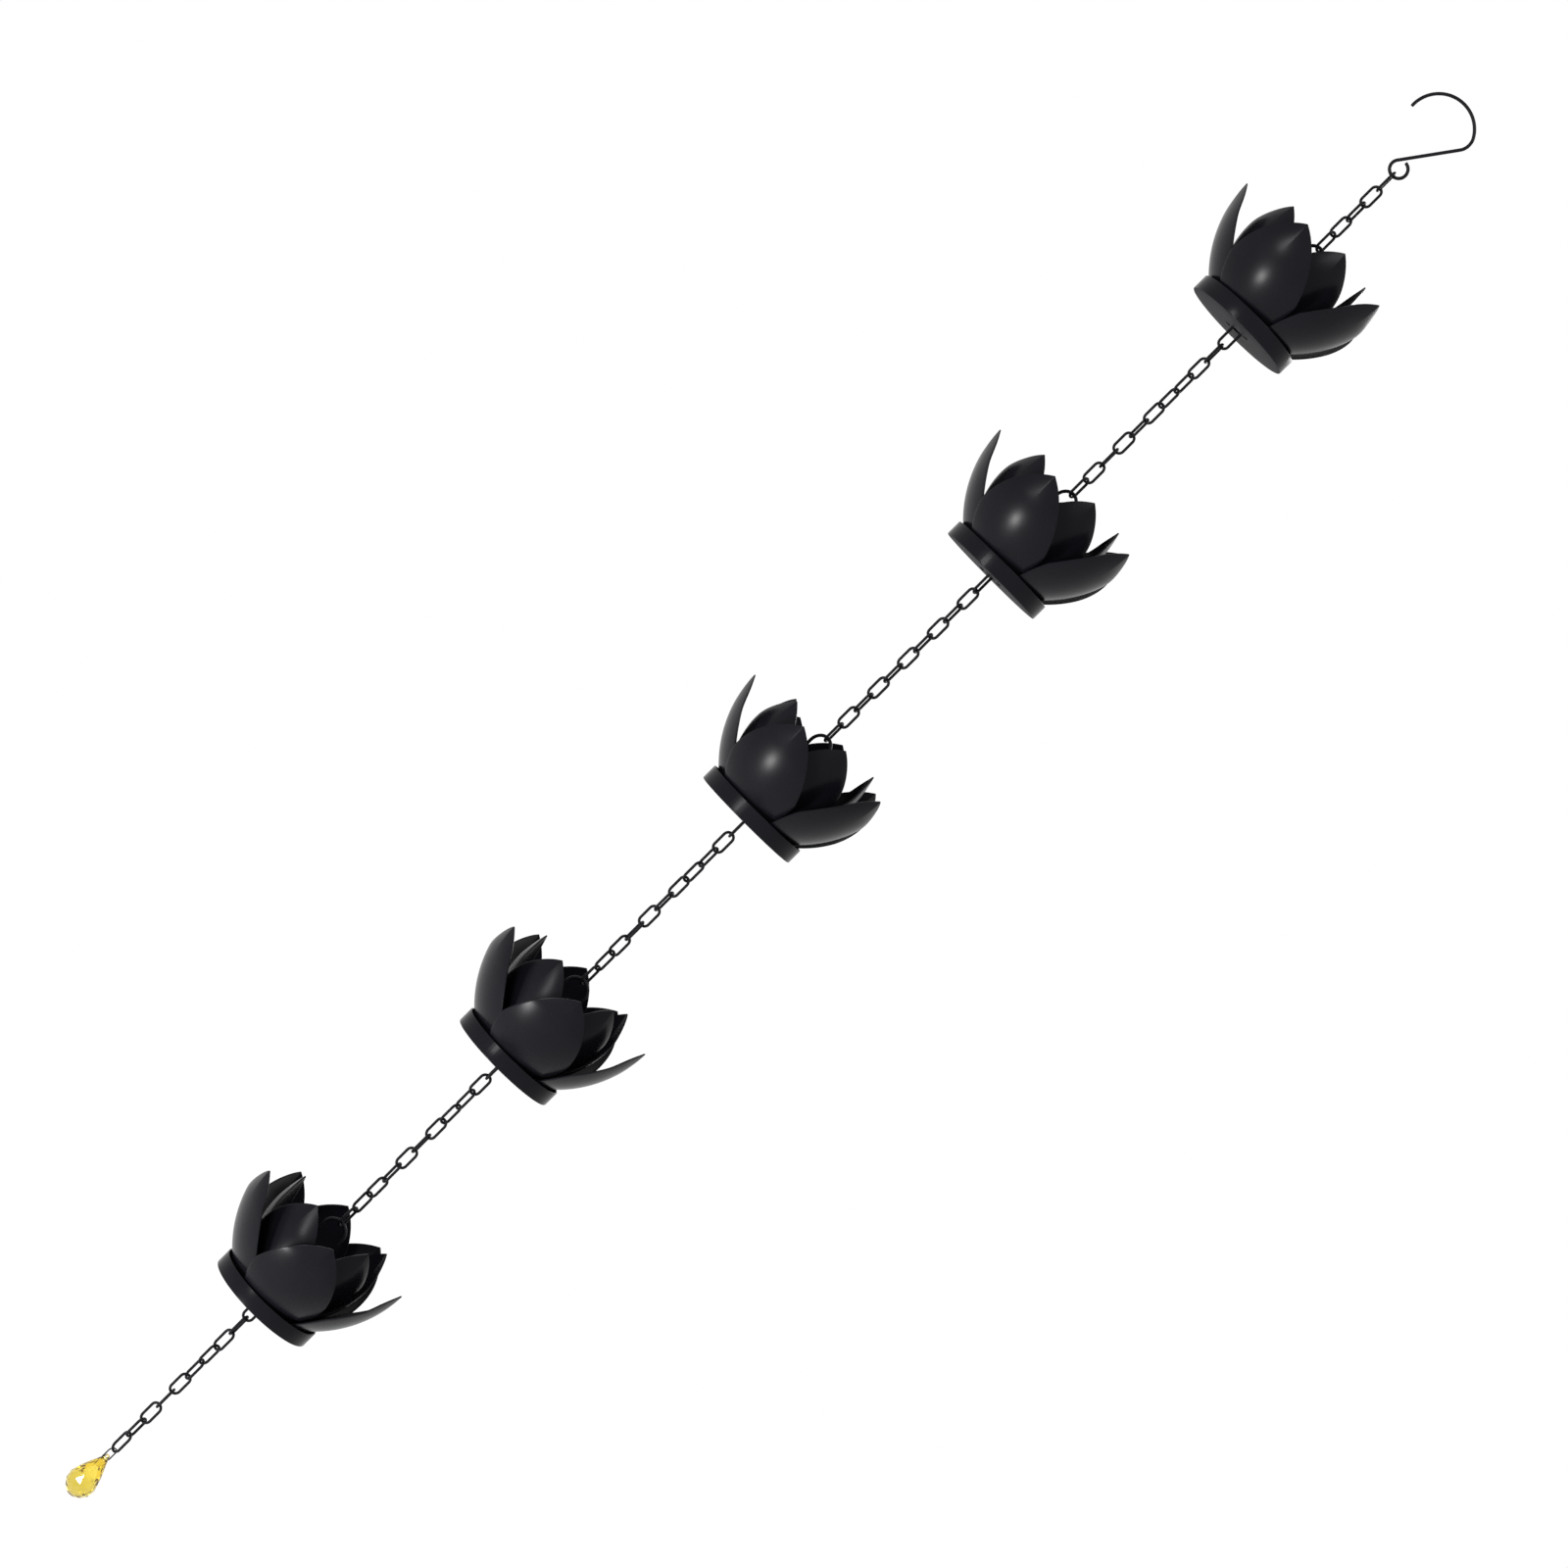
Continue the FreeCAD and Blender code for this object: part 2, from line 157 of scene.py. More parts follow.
@dataclass(frozen=True)
class PowderCoat:
    """Black polyester powder baked on to steel: satin, with the faint orange peel of melted powder.

    Widths and depths are in millimetres.
    """

    name: str
    slot: str
    colour: str = "#0f0f13"
    pale: str = "#15151a"  # its slow cloudiness goes from one to the other
    roughness: float = 0.27
    roughness_spread: float = 0.04
    ior: float = 1.5
    specular: float = 0.08  # low, so that white surroundings leave the black dark
    peel: float = 1.4  # width of the skin's ripples
    peel_depth: float = 0.010
    peel_strength: float = 0.35
    cloud: float = 26.0  # width of the slow changes in gloss
    cloud_range: tuple[float, float] = (0.3, 0.7)  # the noise seldom leaves it
    streak: float = 0.0  # depth of the upright ripples that a rolled strip has
    streak_width: float = 2.2
    streak_stretch: float = 50.0  # how many times taller than wide a ripple is
    streak_strength: float = 0.6
    dry_below: float = 0.0  # roughness of the underside, where the powder lies thin and stays matt
    dry_range: tuple[float, float] = (-0.5, -0.9)  # the normal's height where it starts and is full

    def relief(self, tree: bpy.types.NodeTree, place: bpy.types.NodeSocket) -> bpy.types.NodeSocket:
        """Raise the skin's ripples and, on a rolled strip, the upright ones.

        Args:
            tree: The material's node tree.
            place: Object coordinates.

        Returns:
            The rippled normal.
        """
        peel = node(tree, "ShaderNodeTexNoise", Vector=place, Scale=1 / (self.peel * MM), Detail=1.0)
        skin = node(
            tree,
            "ShaderNodeBump",
            Strength=self.peel_strength,
            Distance=self.peel_depth * MM,
            Height=peel.outputs["Fac"],
        ).outputs["Normal"]
        if not self.streak:
            return skin
        upright = node(tree, "ShaderNodeMapping", Vector=place, Scale=(1.0, 1.0, 1 / self.streak_stretch))
        band = node(
            tree,
            "ShaderNodeTexNoise",
            Vector=upright.outputs["Vector"],
            Scale=1 / (self.streak_width * MM),
            Detail=2.0,
        )
        return node(
            tree,
            "ShaderNodeBump",
            Strength=self.streak_strength,
            Distance=self.streak * MM,
            Height=band.outputs["Fac"],
            Normal=skin,
        ).outputs["Normal"]

    def gloss(
        self, tree: bpy.types.NodeTree, cloud: bpy.types.NodeSocket, normal: bpy.types.NodeSocket
    ) -> bpy.types.NodeSocket:
        """Vary the roughness slowly, and roughen the faces that look down where the powder is dry there.

        Args:
            tree: The material's node tree.
            cloud: The slow noise.
            normal: The piece's own normal, which turns with it.

        Returns:
            The roughness.
        """
        rough = node(
            tree,
            "ShaderNodeMapRange",
            Value=cloud,
            From_Min=self.cloud_range[0],
            From_Max=self.cloud_range[1],
            To_Min=self.roughness - self.roughness_spread / 2,
            To_Max=self.roughness + self.roughness_spread / 2,
        ).outputs["Result"]
        if not self.dry_below:
            return rough
        facing = node(tree, "ShaderNodeSeparateXYZ", Vector=normal)
        below = node(
            tree,
            "ShaderNodeMapRange",
            Value=facing.outputs["Z"],
            From_Min=self.dry_range[0],
            From_Max=self.dry_range[1],
            To_Min=0.0,
            To_Max=self.dry_below,
        ).outputs["Result"]
        return node(tree, "ShaderNodeMath", {"operation": "MAXIMUM"}, slot_0=rough, slot_1=below).outputs[0]

    def make(self) -> bpy.types.Material:
        """Build the material.

        Returns:
            The finished material.
        """
        material, tree = blank_material(self.name)
        coordinates = node(tree, "ShaderNodeTexCoord").outputs
        place = coordinates["Object"]
        noise = node(tree, "ShaderNodeTexNoise", Vector=place, Scale=1 / (self.cloud * MM), Detail=2.0)
        cloud = noise.outputs["Fac"]
        tint = node(
            tree,
            "ShaderNodeMix",
            {"data_type": "RGBA"},
            Factor=cloud,
            slot_6=linear(self.colour),
            slot_7=linear(self.pale),
        )
        skin = node(
            tree,
            "ShaderNodeBsdfPrincipled",
            Base_Color=tint.outputs[2],
            Roughness=self.gloss(tree, cloud, coordinates["Normal"]),
            Normal=self.relief(tree, place),
            IOR=self.ior,
            Specular_IOR_Level=self.specular,
        )
        node(tree, "ShaderNodeOutputMaterial", Surface=skin.outputs["BSDF"])
        return material


@dataclass(frozen=True)
class CutGlass:
    """Cut and polished lead crystal, tinted amber through: clear, with flat facets that flash."""

    name: str = "amber_cut_glass"
    slot: str = "amber_glass"
    colour: str = "#fbeeb4"
    depth_colour: str = "#f3ec47"
    depth_density: float = 122.0  # for each metre of the way through
    roughness: float = 0.015
    ior: float = 1.58

    def make(self) -> bpy.types.Material:
        """Build the material.

        Returns:
            The finished material.
        """
        material, tree = blank_material(self.name)
        glass = node(
            tree,
            "ShaderNodeBsdfPrincipled",
            Base_Color=linear(self.colour),
            Roughness=self.roughness,
            IOR=self.ior,
            Transmission_Weight=1.0,
        )
        # The longer the way through the glass, the deeper the gold, so facets with more bounces go olive.
        depth = node(
            tree, "ShaderNodeVolumeAbsorption", Color=linear(self.depth_colour), Density=self.depth_density
        )
        node(tree, "ShaderNodeOutputMaterial", Surface=glass.outputs["BSDF"], Volume=depth.outputs["Volume"])
        return material


class Finish(Enum):
    """The finishes on the rain chain."""

    # Powder baked on pressed steel sheet: near black, with one soft round glow on each dome.
    PETAL = PowderCoat("petal_powder_coat", "petal_black")
    # The same powder on a rolled strip: its fine upright ripples break the glow into a streak.
    PAN = PowderCoat("pan_powder_coat", "powder_black", roughness=0.23, streak=0.10, dry_below=0.62)
    # Powder on thin wire lies thicker and duller, so a link is a plain dark line with a faint pale edge.
    WIRE = PowderCoat("wire_powder_coat", "powder_black", colour="#151517", roughness=0.38, peel=0.9)
    # Black annealed wire, drawn and left bare: its oxide is dull and almost without a highlight.
    PIN = PowderCoat(
        "black_annealed_wire", "black_wire", colour="#0d0d0e", pale="#151516", roughness=0.42, peel=0.6
    )
    # Lead crystal, tinted through: pale gold where it is thin, olive where light bounces about in it.
    GLASS = CutGlass()


class Workshop:
    """Holds the made materials, and the small jobs that every piece needs."""

    def __init__(self) -> None:
        """Make every finish once."""
        self.materials = {finish: finish.value.make() for finish in Finish}

    def dress(self, piece: bpy.types.Object, finish: Finish) -> None:
        """Give a piece one finish all over."""
        piece.data.materials.clear()
        piece.data.materials.append(self.materials[finish])

    def redress(self, cad_node: bpy.types.Object, finish: Finish) -> None:
        """Give a CAD node another material in its own slots."""
        for slot in cad_node.material_slots:
            slot.material = self.materials[finish]

    @staticmethod
    def clear_selection() -> None:
        """Leave edit mode and select nothing."""
        if bpy.context.object and bpy.context.object.mode != "OBJECT":
            bpy.ops.object.mode_set(mode="OBJECT")
        bpy.ops.object.select_all(action="DESELECT")

    @staticmethod
    def select(*objects: bpy.types.Object) -> None:
        """Select only these objects, the first one active.

        Args:
            *objects: The objects to select.
        """
        Workshop.clear_selection()
        for thing in objects:
            thing.select_set(True)
        bpy.context.view_layer.objects.active = objects[0]

    @staticmethod
    def clean(piece: bpy.types.Object, seam: float = 0.002) -> None:
        """Close a piece's seams, fill its open ends and point its faces outwards.

        Args:
            piece: The mesh object.
            seam: Points closer than this are one point, in millimetres.
        """
        Workshop.select(piece)
        bpy.ops.object.mode_set(mode="EDIT")
        bpy.ops.mesh.select_all(action="SELECT")
        bpy.ops.mesh.remove_doubles(threshold=seam * MM)
        bpy.ops.mesh.fill_holes(sides=0)
        bpy.ops.mesh.select_all(action="SELECT")
        bpy.ops.mesh.normals_make_consistent(inside=False)
        bpy.ops.object.mode_set(mode="OBJECT")

    @staticmethod
    def soften(piece: bpy.types.Object, width: float, segments: int = 2, angle: float = 50.0) -> None:
        """Round a piece's sharp edges and shade the rest smooth.

        Args:
            piece: The mesh object.
            width: Width of the rounding in millimetres.
            segments: Steps across the rounding.
            angle: Edges sharper than this, in degrees, are rounded.
        """
        Workshop.select(piece)
        edge = piece.modifiers.new("edges", "BEVEL")
        edge.width = width * MM
        edge.segments = segments
        edge.limit_method = "ANGLE"
        edge.angle_limit = math.radians(angle)
        bpy.ops.object.modifier_apply(modifier=edge.name)
        bpy.ops.object.shade_smooth_by_angle(angle=math.radians(angle))

    @staticmethod
    def copy(
        piece: bpy.types.Object, name: str, azimuth: float = 0.0, height: float = 0.0
    ) -> bpy.types.Object:
        """Copy a piece with its own mesh, turned about the chain's axis and raised.

        Args:
            piece: The object to copy.
            name: Name of the copy.
            azimuth: Turn about +Z in degrees.
            height: Height in millimetres.

        Returns:
            The copy, its place in its mesh.
        """
        mesh = piece.data.copy()
        turn = Matrix.Rotation(math.radians(azimuth), 4, "Z")
        mesh.transform(Matrix.Translation((0, 0, height * MM)) @ turn)
        twin = bpy.data.objects.new(name, mesh)
        bpy.context.scene.collection.objects.link(twin)
        return twin

    @staticmethod
    def join(name: str, parts: list[bpy.types.Object]) -> bpy.types.Object:
        """Join several objects into one.

        Args:
            name: Name of the joined piece and of its mesh.
            parts: The objects, the first of which takes the others in.

        Returns:
            The joined piece.
        """
        Workshop.select(*parts)
        bpy.ops.object.join()
        parts[0].name = name
        parts[0].data.name = name
        return parts[0]


class WireBender:
    """Bends round wire in the XZ plane: a ring of points is carried along straights and round bends."""

    crease: float = 60.0  # degrees, edges sharper than this stay sharp

    def __init__(
        self, name: str, diameter: float, start: tuple[float, float], heading: float, sides: int = 16
    ) -> None:
        """Set the first ring.

        Args:
            name: Name of the wire.
            diameter: Its diameter in millimetres.
            start: Where its centre line starts, as X and Z in millimetres.
            heading: Direction of the centre line there, in degrees from +Z towards +X.
            sides: Points round the wire.
        """
        Workshop.clear_selection()
        bpy.ops.mesh.primitive_circle_add(
            vertices=sides,
            radius=diameter / 2 * MM,
            fill_type="NOTHING",
            location=(start[0] * MM, 0, start[1] * MM),
            rotation=(0, math.radians(heading), 0),
        )
        self.piece = bpy.context.object
        self.piece.name = name
        bpy.ops.object.transform_apply(location=True, rotation=True, scale=True)
        bpy.ops.object.mode_set(mode="EDIT")
        bpy.ops.mesh.select_all(action="SELECT")

    def straight(self, across: float, up: float) -> "WireBender":
        """Carry the wire on in a straight line, by a distance along X and Z in millimetres."""
        bpy.ops.mesh.extrude_region_move(TRANSFORM_OT_translate={"value": (across * MM, 0, up * MM)})
        return self

    def bend(self, centre: tuple[float, float], angle: float, step: float = 9.0) -> "WireBender":
        """Bend the wire round a centre.

        Args:
            centre: X and Z of the bend's centre in millimetres.
            angle: Degrees turned, positive from +Z towards +X.
            step: Largest angle between two rings in degrees.

        Returns:
            The bender itself, so that bends follow each other.
        """
        bpy.ops.mesh.spin(
            steps=max(3, round(abs(angle) / step)),
            angle=-math.radians(angle),
            center=(centre[0] * MM, 0, centre[1] * MM),
            axis=(0, 1, 0),
        )
        return self

    def finish(self, end_rounding: float = 0.0) -> bpy.types.Object:
        """Close the wire and shade it.

        Args:
            end_rounding: Rounding of its cut ends in millimetres, nothing for a closed wire.

        Returns:
            The wire as an object.
        """
        bpy.ops.object.mode_set(mode="OBJECT")
        Workshop.clean(self.piece)
        if end_rounding:
            Workshop.soften(self.piece, end_rounding, segments=4, angle=self.crease)
        Workshop.select(self.piece)
        bpy.ops.object.shade_smooth_by_angle(angle=math.radians(self.crease))
        return self.piece


class Lathe:
    """Turns a round piece: a ring of points is carried from one radius and height to the next."""

    crease: float = 40.0  # degrees, edges sharper than this stay sharp
    corner_steps: int = 4

    def __init__(self, name: str, radius: float, height: float, sides: int = 144) -> None:
        """Set the first ring.

        Args:
            name: Name of the piece.
            radius: The ring's radius in millimetres.
            height: Its height in millimetres.
            sides: Points round the ring.
        """
        Workshop.clear_selection()
        bpy.ops.mesh.primitive_circle_add(
            vertices=sides, radius=radius * MM, fill_type="NOTHING", location=(0, 0, height * MM)
        )
        self.piece = bpy.context.object
        self.piece.name = name
        self.radius = radius
        self.height = height
        bpy.ops.object.transform_apply(location=True, rotation=True, scale=True)
        bpy.ops.object.mode_set(mode="EDIT")
        bpy.ops.mesh.select_all(action="SELECT")

    def to(self, radius: float, height: float) -> "Lathe":
        """Carry the ring on along the profile.

        Args:
            radius: The new radius in millimetres.
            height: The new height in millimetres.

        Returns:
            The lathe itself, so that moves follow each other.
        """
        rise = (height - self.height) * MM
        bpy.ops.mesh.extrude_region_move(TRANSFORM_OT_translate={"value": (0, 0, rise)})
        scale = radius / self.radius
        bpy.ops.transform.resize(value=(scale, scale, 1), center_override=(0, 0, height * MM))
        self.radius = radius
        self.height = height
        return self

    def round_corner(self, centre: tuple[float, float], radius: float, start: float, end: float) -> "Lathe":
        """Carry the ring round a corner of the profile.

        Args:
            centre: Radius and height of the corner's centre in millimetres.
            radius: The corner's radius in millimetres.
            start: First angle in degrees, from outwards towards up.
            end: Last angle in degrees.

        Returns:
            The lathe itself.
        """
        for n in range(self.corner_steps + 1):
            angle = math.radians(start + (end - start) * n / self.corner_steps)
            self.to(centre[0] + radius * math.cos(angle), centre[1] + radius * math.sin(angle))
        return self

    def finish(self) -> bpy.types.Object:
        """Close the profile on its first ring and shade it.

        Returns:
            The turned piece.
        """
        bpy.ops.object.mode_set(mode="OBJECT")
        Workshop.clean(self.piece)
        Workshop.select(self.piece)
        bpy.ops.object.shade_smooth_by_angle(angle=math.radians(self.crease))
        return self.piece


@dataclass(frozen=True)
class Curve:
    """The circle through three points of a plane, read as the outward side of a profile."""

    a: tuple[float, float]
    b: tuple[float, float]
    c: tuple[float, float]

    def circle(self) -> tuple[float, float, float]:
        """Find the circle.

        Returns:
            Its centre, outwards and up, and its radius.
        """
        (ax, ay), (bx, by), (cx, cy) = self.a, self.b, self.c
        d = 2 * (ax * (by - cy) + bx * (cy - ay) + cx * (ay - by))
        aa, bb, cc = ax * ax + ay * ay, bx * bx + by * by, cx * cx + cy * cy
        x = (aa * (by - cy) + bb * (cy - ay) + cc * (ay - by)) / d
        y = (aa * (cx - bx) + bb * (ax - cx) + cc * (bx - ax)) / d
        return x, y, math.hypot(ax - x, ay - y)

    def out_at(self, height: float) -> float:
        """How far out the circle reaches at a height."""
        x, y, radius = self.circle()
        return x + math.sqrt(max(0.0, radius**2 - (height - y) ** 2))


@dataclass
class Petal:
    """One domed petal of a stamped blossom, sizes in millimetres from the pan's underside."""

    floor: float
    midline: tuple[tuple[float, float], ...]  # three points, outwards and up
    dome_offset: float  # how far out the axis of the dome stands
    outline: tuple[tuple[float, float], ...]  # base, haunch, belly, shoulder and tip, sideways and up
    sheet: float = 1.0
    twist: float = 3.5  # degrees, so that each petal overlaps the next
    fold_slope: float = 0.16
    fold_length: float = 24.0
    edge_rounding: float = 0.28
    edge_angle: float = 55.0
    seam: float = 0.01
    rows: int = 44
    columns: int = 36

    def half_width(self, height: float) -> float:
        """Read half the petal's width off its outline.

        Args:
            height: Height in millimetres.

        Returns:
            Half the width, nothing above the tip.
        """
        base, haunch, belly, shoulder, tip = self.outline
        base = (base[0], self.floor)
        if height >= tip[1]:
            return 0.0
        side = Curve(tip, shoulder, belly) if height > belly[1] else Curve(belly, haunch, base)
        return max(0.0, side.out_at(height))

    def point(self, across: float, along: float) -> Vector:
        """Find a point of the petal's outer face.

        Args:
            across: From -1 at one edge to 1 at the other.
            along: From 0 at the base to 1 at the tip.

        Returns:
            Its place in metres, the petal standing along +X.
        """
        tip = self.outline[-1][1]
        height = self.floor + (tip - self.floor) * math.sin(along * math.pi / 2)
        side = across * self.half_width(height)
        reach = Curve(*self.midline).out_at(height) - self.dome_offset
        out = self.dome_offset + math.sqrt(max(0.0, reach**2 - side**2))
        # The fold along the midline fades in towards the tip.
        near_tip = max(0.0, 1 - (tip - height) / self.fold_length)
        out -= self.fold_slope * abs(side) * near_tip * near_tip * (3 - 2 * near_tip)
        return Vector((out, side, height)) * MM

    def make(self) -> bpy.types.Object:
        """Press the petal out of a flat grid, give it its thickness and round its edges.

        Returns:
            The petal along +X, twisted about its own midline.
        """
        Workshop.clear_selection()
        bpy.ops.mesh.primitive_grid_add(x_subdivisions=self.columns, y_subdivisions=self.rows, size=2)
        piece = bpy.context.object
        for vertex in piece.data.vertices:
            vertex.co = self.point(vertex.co.x, (vertex.co.y + 1) / 2)
        Workshop.select(piece)
        bpy.ops.object.mode_set(mode="EDIT")
        bpy.ops.mesh.select_all(action="SELECT")
        bpy.ops.mesh.remove_doubles(threshold=self.seam * MM)
        bpy.ops.object.mode_set(mode="OBJECT")
        self.face_outwards(piece)
        wall = piece.modifiers.new("sheet", "SOLIDIFY")
        wall.thickness = self.sheet * MM
        wall.offset = -1.0
        bpy.ops.object.modifier_apply(modifier=wall.name)
        Workshop.soften(piece, self.edge_rounding, angle=self.edge_angle)
        pivot = Vector((self.midline[1][0] * MM, 0, 0))
        turn = Matrix.Rotation(math.radians(self.twist), 4, "Z")
        piece.data.transform(Matrix.Translation(pivot) @ turn @ Matrix.Translation(-pivot))
        return piece

    @staticmethod
    def face_outwards(piece: bpy.types.Object) -> None:
        """Turn an open sheet's faces away from the cup's axis, so that its thickness goes inwards.

        Args:
            piece: The sheet, selected and standing along +X.
        """
        middle = piece.data.polygons[len(piece.data.polygons) // 2]
        if middle.normal.x < 0:
            bpy.ops.object.mode_set(mode="EDIT")
            bpy.ops.mesh.select_all(action="SELECT")
            bpy.ops.mesh.flip_normals()
            bpy.ops.object.mode_set(mode="OBJECT")


@dataclass
class Blossom:
    """A stamped sheet: a round floor with five petals bent up round it."""

    name: str
    petal: Petal
    floor_radius: float
    drain: float
    count: int

    def make(self) -> bpy.types.Object:
        """Copy the petal round the floor.

        Returns:
            The blossom at the pan's underside, its first petal along +X.
        """
        low, high = self.petal.floor, self.petal.floor + self.petal.sheet
        hole, middle, rim = self.drain / 2, self.floor_radius * 0.6, self.floor_radius
        floor = Lathe(f"{self.name}_floor", hole, low, sides=96)
        floor.to(middle, low).to(rim, low).to(rim, high)
        floor.to(middle, high).to(hole, high).to(hole, low)
        parts = [floor.finish()]
        petal = self.petal.make()
        for n in range(self.count):
            parts.append(Workshop.copy(petal, f"{self.name}_{n}", 360 * n / self.count))
        bpy.data.objects.remove(petal)
        return Workshop.join(self.name, parts)


@dataclass
class Cup:
    """A lotus cup: pan, two blossoms, bail and loop, in millimetres from the pan's underside."""

    pan_diameter: float = 82.0
    pan_height: float = 11.5
    pan_sheet: float = 1.0
    pan_corner: float = 0.8
    pan_lip: float = 0.3
    drain: float = 10.4
    petal_count: int = 5
    outer_floor_radius: float = 25.0
    inner_floor_radius: float = 20.5
    bail_wire: float = 2.4
    bail_radius: float = 9.0
    bail_inner_height: float = 77.5
    bail_turn: float = 72.0  # in line with the second petal
    rivet_radius: float = 2.2
    rivet_height: float = 0.9
    link_wire: float = 2.0
    loop_leg: float = 3.7
    loop_bend: float = 1.45
    loop_depth: float = 14.4
    loop_span: float = 14.4
    loop_end_rounding: float = 0.25

    def pan(self) -> bpy.types.Object:
        """Turn the tray.

        Returns:
            The pan, its underside at the origin.
        """
        rim, hole, lip = self.pan_diameter / 2, self.drain / 2, self.pan_lip
        turned = Lathe("pan", hole, 0.0)
        turned.to(rim * 0.5, 0.0)
        turned.round_corner((rim - self.pan_corner, self.pan_corner), self.pan_corner, -90, 0)
        turned.to(rim, self.pan_height * 0.5)
        turned.round_corner((rim - lip, self.pan_height - lip), lip, 0, 90)
        turned.round_corner((rim - self.pan_sheet + lip, self.pan_height - lip), lip, 90, 180)
        turned.to(rim - self.pan_sheet, self.pan_height * 0.5)
        turned.to(rim - self.pan_sheet, self.pan_sheet)
        turned.to(hole, self.pan_sheet).to(hole, 0.0)
        return turned.finish()

    def blossoms(self) -> tuple[bpy.types.Object, bpy.types.Object]:
        """Stamp the two blossoms, the inner one half a step round.

        Returns:
            The outer and the inner blossom.
        """
        outer = Petal(
            floor=self.pan_sheet,
            midline=((24.6, 1.6), (58.2, 41.0), (65.6, 73.8)),
            dome_offset=4.0,
            outline=((10.0, 0.0), (21.5, 11.5), (29.6, 31.0), (20.8, 55.0), (0.0, 74.2)),
        )
        inner = Petal(
            floor=2 * self.pan_sheet,
            midline=((20.5, 2.6), (42.2, 41.0), (41.0, 82.0)),
            dome_offset=2.5,
            outline=((10.0, 0.0), (21.5, 13.5), (27.1, 35.0), (19.0, 63.0), (0.0, 82.0)),
        )
        half_step = math.radians(180 / self.petal_count)
        count, drain = self.petal_count, self.drain
        inside = Blossom("inner_blossom", inner, self.inner_floor_radius, drain, count).make()
        inside.data.transform(Matrix.Rotation(half_step, 4, "Z"))
        return Blossom("outer_blossom", outer, self.outer_floor_radius, drain, count).make(), inside

    def bail(self) -> bpy.types.Object:
        """Bend the arch and peen its feet under the pan.

        Returns:
            The bail, turned in line with the second petal.
        """
        reach = self.bail_radius
        crown = self.bail_inner_height + self.bail_wire / 2 - reach
        wire = WireBender("bail", self.bail_wire, (-reach, 0.0), 0.0, sides=20)
        wire.straight(0, crown).bend((0, crown), 180).straight(0, -crown)
        parts = [wire.finish()]
        for side in (-reach, reach):
            # The head narrows slowly, then fast, as a peened end does.
            head = Lathe("rivet", self.rivet_radius, 0.0, sides=28)
            head.to(self.rivet_radius * 0.92, -self.rivet_height * 0.45)
            head.to(self.rivet_radius * 0.6, -self.rivet_height)
            peened = head.finish()
            peened.data.transform(Matrix.Translation((side * MM, 0, 0)))
            parts.append(peened)
        joined = Workshop.join("bail", parts)
        joined.data.transform(Matrix.Rotation(math.radians(self.bail_turn), 4, "Z"))
        return joined

    def loop(self) -> bpy.types.Object:
        """Bend the U that hangs through the floor.

        Returns:
            The loop, measured from the pan's underside.
        """
        leg, bend = self.loop_leg, self.loop_bend
        foot = 3 * self.pan_sheet + self.link_wire / 2
        low = leg - self.link_wire / 2 - self.loop_depth
        toe = self.loop_span / 2 - leg - bend
        wire = WireBender("loop", self.link_wire, (self.loop_span / 2, foot), -90.0)
        wire.straight(-toe, 0).bend((leg + bend, foot - bend), -90)
        wire.straight(0, low - foot + bend).bend((0, low), 180)
        wire.straight(0, foot - bend - low).bend((-leg - bend, foot - bend), -90)
        wire.straight(-toe, 0)
        return wire.finish(end_rounding=self.loop_end_rounding)


@dataclass
class Chain:
    """The oval links and how they hang: nearly a quarter turn from one to the next, in millimetres."""

    wire: float = 2.0
    inner_length: float = 14.5
    inner_width: float = 5.4
    hang_gap: float = 0.3
    # For each stretch: links in each piece, azimuth before its first link, and degrees off a quarter turn.
    pieces: tuple[tuple[int, ...], ...] = ((2, 3), (3, 4, 3), (3, 4, 3), (3, 4, 3), (3, 4, 3), (3, 3, 3))
    start: tuple[float, ...] = (0.0, 0.0, 68.0, 88.0, 95.0, 2.0)
    twist: tuple[float, ...] = (-8.0, -12.0, 0.5, 15.0, 15.0, -15.0)

    def link(self) -> bpy.types.Object:
        """Bend one link.

        Returns:
            The link, standing in the XZ plane and centred at the origin.
        """
        crown = (self.inner_width + self.wire) / 2
        leg = (self.inner_length + self.wire) / 2 - crown
        bender = WireBender("link", self.wire, (-crown, -leg), 0.0, sides=14)
        bender.straight(0, 2 * leg).bend((0, leg), 180, step=11)
        bender.straight(0, -2 * leg).bend((0, -leg), 180, step=11)
        return bender.finish()

    def azimuth(self, run: int, turns: int) -> float:
        """The azimuth in degrees after so many turns down a stretch of chain."""
        return self.start[run] + (90 + self.twist[run]) * turns

    def hang(self, link: bpy.types.Object) -> list[tuple[str, bpy.types.Object]]:
        """Copy the link to every place, one joined piece for each stretch of chain.

        Args:
            link: The model link.

        Returns:
            Node names with the piece that stands for each.
        """
        made = []
        for run, counts in enumerate(self.pieces):
            above = 0
            for letter, count in zip("abc", counts):
                name = f"chain_{run}{letter}"
                _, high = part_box(name)
                top = high.z / MM - self.wire - self.inner_length / 2
                links = []
                for n in range(count):
                    azimuth = self.azimuth(run, above + n + 1)
                    drop = (self.inner_length - self.hang_gap) * n
                    links.append(Workshop.copy(link, f"{name}_{n}", azimuth, top - drop))
                made.append((name, Workshop.join(f"{name}_links", links)))
                above += count
        return made


